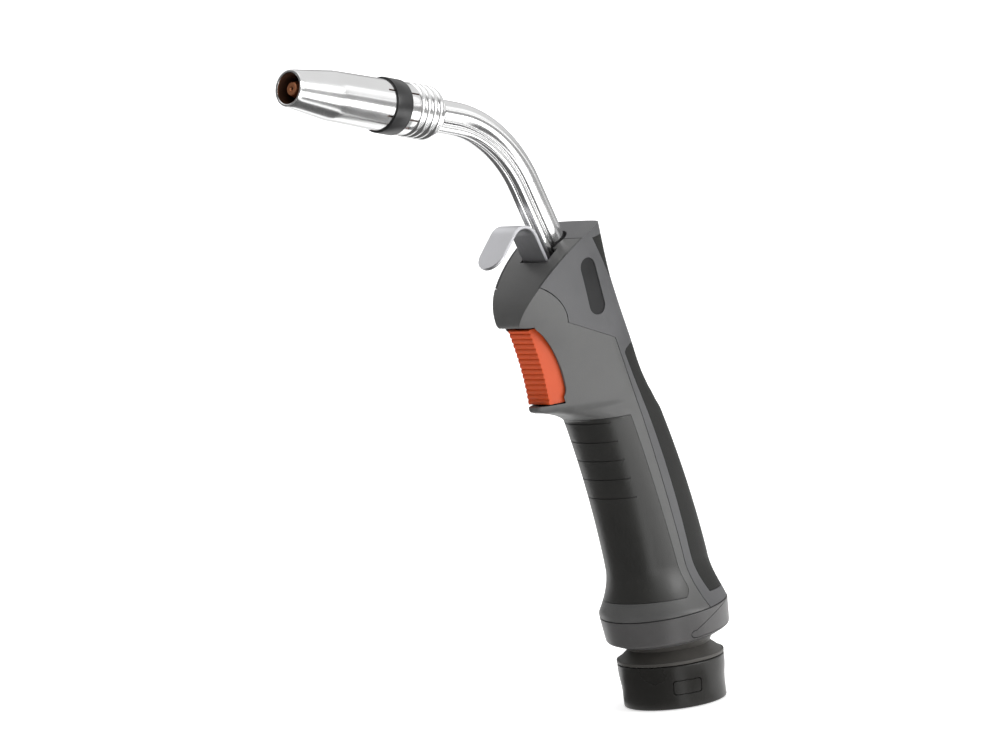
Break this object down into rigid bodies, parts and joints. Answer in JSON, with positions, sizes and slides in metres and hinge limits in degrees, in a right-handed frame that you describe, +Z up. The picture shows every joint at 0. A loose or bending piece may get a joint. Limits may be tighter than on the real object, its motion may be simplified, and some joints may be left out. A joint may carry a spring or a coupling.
{
  "type": "mig welding torch",
  "caption": "Water-cooled MIG welding torch: swivelling leaned handle with trigger and hanger hook, bent chromed neck and tapered gas nozzle.",
  "frame": {"origin": "centre of the cable inlet, in the plane of the collar's lower end face", "axes": "+X forward, to the trigger and nozzle side; +Y to the torch's left side, seen from behind the handle; +Z up the collar's axis, away from the cable"},
  "size_m": [0.2065, 0.055, 0.2921],
  "materials": {
    "collar_plastic": "satin moulded nylon",
    "bush_rubber": "matt",
    "knuckle_plastic": "satin moulded nylon",
    "liner_plastic": "smooth acetal",
    "inner_plastic": "plain moulding",
    "ring_plastic": "fine moulded grain",
    "tail_plastic": "fine moulded grain",
    "front_shell": "fine moulded grain",
    "rear_shell": "fine moulded grain",
    "soft_grip": "soft-touch, matt",
    "badge_plate": "bare, semi-gloss",
    "screw_steel": "zinc plated",
    "spring_steel": "bright",
    "trigger_orange": "satin",
    "switch_black": "plain",
    "plunger_red": "plain",
    "lead_insulation": "flexible insulation",
    "brass_fittings": "turned",
    "neck_chrome": "polished chrome plating",
    "liner_core": "smooth",
    "hook_zinc": "zinc plated strip",
    "seat_chrome": "polished chrome plating",
    "ring_silicone": "matt",
    "nozzle_insulator": "fibre reinforced",
    "diffuser_ceramic": "unglazed ceramic",
    "tip_copper": "turned copper",
    "nozzle_chrome": "polished chrome plating",
    "band_black": "satin"
  },
  "bodies": {
    "collar": {"cable_collar": "collar_plastic", "cable_bush": "bush_rubber"},
    "latch": {"collar_latch": "collar_plastic"},
    "knuckle": {"knuckle_ball": "knuckle_plastic", "swivel_clip": "spring_steel"},
    "liner": {"ball_liner": "liner_plastic"},
    "handle": {"ball_cup": "inner_plastic", "lock_ring": "ring_plastic", "ring_tail": "tail_plastic", "front_shell": "front_shell", "rear_shell": "rear_shell", "front_grip": "soft_grip", "rear_grip": "soft_grip", "head_pad": "soft_grip", "badge_plates": "badge_plate", "shell_screws": "screw_steel", "trigger_pin": "screw_steel", "trigger_spring": "spring_steel", "switch_carrier": "inner_plastic", "switch_body": "switch_black", "switch_leads": "lead_insulation", "neck_clamp": "inner_plastic", "neck_block": "brass_fittings", "neck_tube": "neck_chrome", "coolant_tube_left": "neck_chrome", "coolant_tube_right": "neck_chrome", "wire_liner": "liner_core", "power_stud": "brass_fittings", "coolant_barbs": "brass_fittings", "hanger_hook": "hook_zinc", "nozzle_seat": "seat_chrome", "seat_rings": "ring_silicone", "nozzle_insulator": "nozzle_insulator", "tip_holder": "brass_fittings", "gas_diffuser": "diffuser_ceramic", "contact_tip": "tip_copper"},
    "trigger": {"trigger": "trigger_orange"},
    "lever": {"switch_lever": "spring_steel"},
    "plunger": {"switch_plunger": "plunger_red"},
    "nozzle": {"gas_nozzle": "nozzle_chrome", "nozzle_band": "band_black"}
  },
  "joints": [
    {"name": "latch_press", "type": "slide", "parent": "collar", "child": "latch", "axis": [-0.515, -0.8572, 0], "range_m": [0, 0.0011], "stiffness_N_per_m": 1500, "springref_m": -0.0005},
    {"name": "knuckle_swivel", "type": "hinge", "parent": "collar", "child": "knuckle", "pos_m": [0, 0, 0], "axis": [0, 0, 1], "range_deg": [-60, 60]},
    {"name": "handle_pitch", "type": "hinge", "parent": "knuckle", "child": "liner", "pos_m": [0, 0, 0.034], "axis": [0, 1, 0], "range_deg": [-5, 5]},
    {"name": "handle_roll", "type": "hinge", "parent": "liner", "child": "handle", "pos_m": [0, 0, 0.034], "axis": [1, 0, 0], "range_deg": [-5, 5]},
    {"name": "trigger_pull", "type": "hinge", "parent": "handle", "child": "trigger", "pos_m": [0.05944, 0, 0.16738], "axis": [0, 1, 0], "range_deg": [0, 5], "stiffness_Nm_per_rad": 1.2, "springref_deg": -6.88, "deforming": ["trigger_spring"]},
    {"name": "lever_swing", "type": "hinge", "parent": "handle", "child": "lever", "pos_m": [0.04886, 0, 0.14358], "axis": [0, -1, 0], "range_deg": [0, 9]},
    {"name": "plunger_slide", "type": "slide", "parent": "handle", "child": "plunger", "axis": [-1, 0, 0], "range_m": [0, 0.0008]},
    {"name": "nozzle_pull", "type": "slide", "parent": "handle", "child": "nozzle", "axis": [0.9655, 0, 0.2605], "range_m": [0, 0.03]}
  ],
  "couplings": [
    {"joint": "lever_swing", "follows": "trigger_pull", "ratio": 1.6},
    {"joint": "plunger_slide", "follows": "trigger_pull", "m_per_rad": 0.0064}
  ]
}
